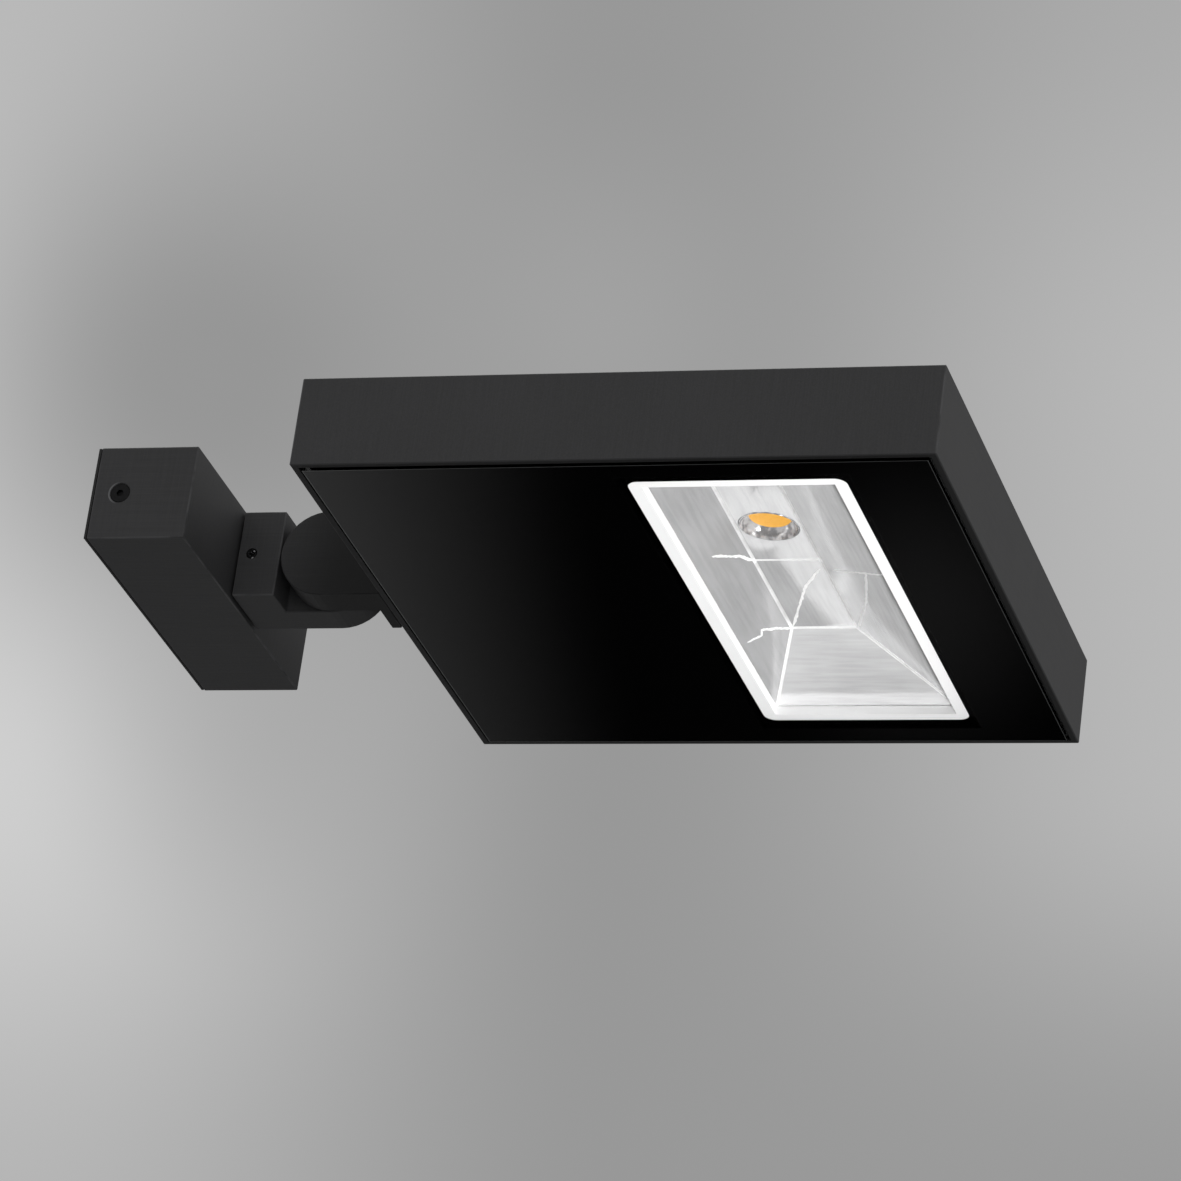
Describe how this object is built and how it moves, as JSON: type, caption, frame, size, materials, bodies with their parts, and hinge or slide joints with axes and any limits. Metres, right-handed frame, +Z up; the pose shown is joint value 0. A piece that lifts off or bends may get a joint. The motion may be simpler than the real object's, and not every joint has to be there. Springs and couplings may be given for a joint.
{
  "type": "wall floodlight",
  "caption": "Flat square LED floodlight on a wall box, with a knuckle that swivels about the wall normal and tilts the head; black printed glass with an offset clear window.",
  "frame": {"origin": "centre of the mounting plate's back face, on the wall", "axes": "+Z up, +Y into the wall, the head reaches out along -Y with its glass facing down, +X to the right along the wall for someone who faces the wall"},
  "size_m": [0.3, 0.4248, 0.0474],
  "materials": {
    "graphite_coat": "die-cast and extruded aluminium with a fine matt graphite powder coat",
    "zinc_plated_steel": "zinc-plated steel",
    "black_steel": "black oxide steel screws",
    "brass": "turned brass",
    "bare_aluminium": "milled aluminium",
    "bright_aluminium": "bright anodised reflector sheet with faint rolling streaks",
    "chrome_ring": "bright polished ring",
    "printed_glass": "tempered glass with black enamel print and one clear window",
    "white_plastic": "white moulded plastic",
    "black_rubber": "black rubber",
    "friction_material": "dark friction sheet",
    "grey_silicone": "grey silicone pad",
    "driver_case": "light moulded plastic case",
    "phosphor": "orange yellow phosphor",
    "coated_board": "aluminium-core LED board with a pale coat",
    "cable_sheath": "black cable sheath",
    "red_sheath": "red wire sheath"
  },
  "bodies": {
    "wall_mount": {"mounting_plate": "zinc_plated_steel", "wall_gasket": "black_rubber", "wall_box": "graphite_coat", "side_screw_near": "black_steel", "side_screw_far": "black_steel", "side_nut_near": "zinc_plated_steel", "side_nut_far": "zinc_plated_steel", "cable_grommet": "black_rubber", "terminal_block": "white_plastic", "terminal_screw_1": "brass", "terminal_screw_2": "brass", "terminal_screw_3": "brass", "earth_screw": "brass", "swivel_spigot": "zinc_plated_steel", "swivel_washer": "zinc_plated_steel", "swivel_nut": "zinc_plated_steel", "swivel_seal": "black_rubber"},
    "knuckle": {"knuckle_base": "graphite_coat", "grub_screw": "black_steel", "friction_ring": "friction_material"},
    "head": {"knuckle_head": "graphite_coat", "pivot_bolt": "black_steel", "pivot_washer": "zinc_plated_steel", "neck_screw_1": "zinc_plated_steel", "neck_screw_2": "zinc_plated_steel", "neck_screw_3": "zinc_plated_steel", "neck_screw_4": "zinc_plated_steel", "cable_gland": "black_rubber", "head_housing": "graphite_coat", "glass_gasket": "black_rubber", "cover_glass": "printed_glass", "reflector_bezel": "white_plastic", "bezel_screw_1": "zinc_plated_steel", "bezel_screw_2": "zinc_plated_steel", "bezel_screw_3": "zinc_plated_steel", "bezel_screw_4": "zinc_plated_steel", "reflector": "bright_aluminium", "led_holder": "chrome_ring", "led_phosphor": "phosphor", "led_board": "coated_board", "thermal_pad": "grey_silicone", "heat_spreader": "bare_aluminium", "led_screw_1": "zinc_plated_steel", "led_screw_2": "zinc_plated_steel", "spreader_screw_1": "zinc_plated_steel", "spreader_screw_2": "zinc_plated_steel", "led_driver": "driver_case", "driver_screw_1": "zinc_plated_steel", "driver_screw_2": "zinc_plated_steel", "supply_lead": "cable_sheath", "led_lead_red": "red_sheath", "led_lead_black": "cable_sheath"}
  },
  "joints": [
    {"name": "swivel", "type": "hinge", "parent": "wall_mount", "child": "knuckle", "pos_m": [0, -0.051, 0], "axis": [0, -1, 0], "range_deg": [-170, 170]},
    {"name": "tilt", "type": "hinge", "parent": "knuckle", "child": "head", "pos_m": [0, -0.0945, 0], "axis": [1, 0, 0], "range_deg": [-90, 90]}
  ]
}
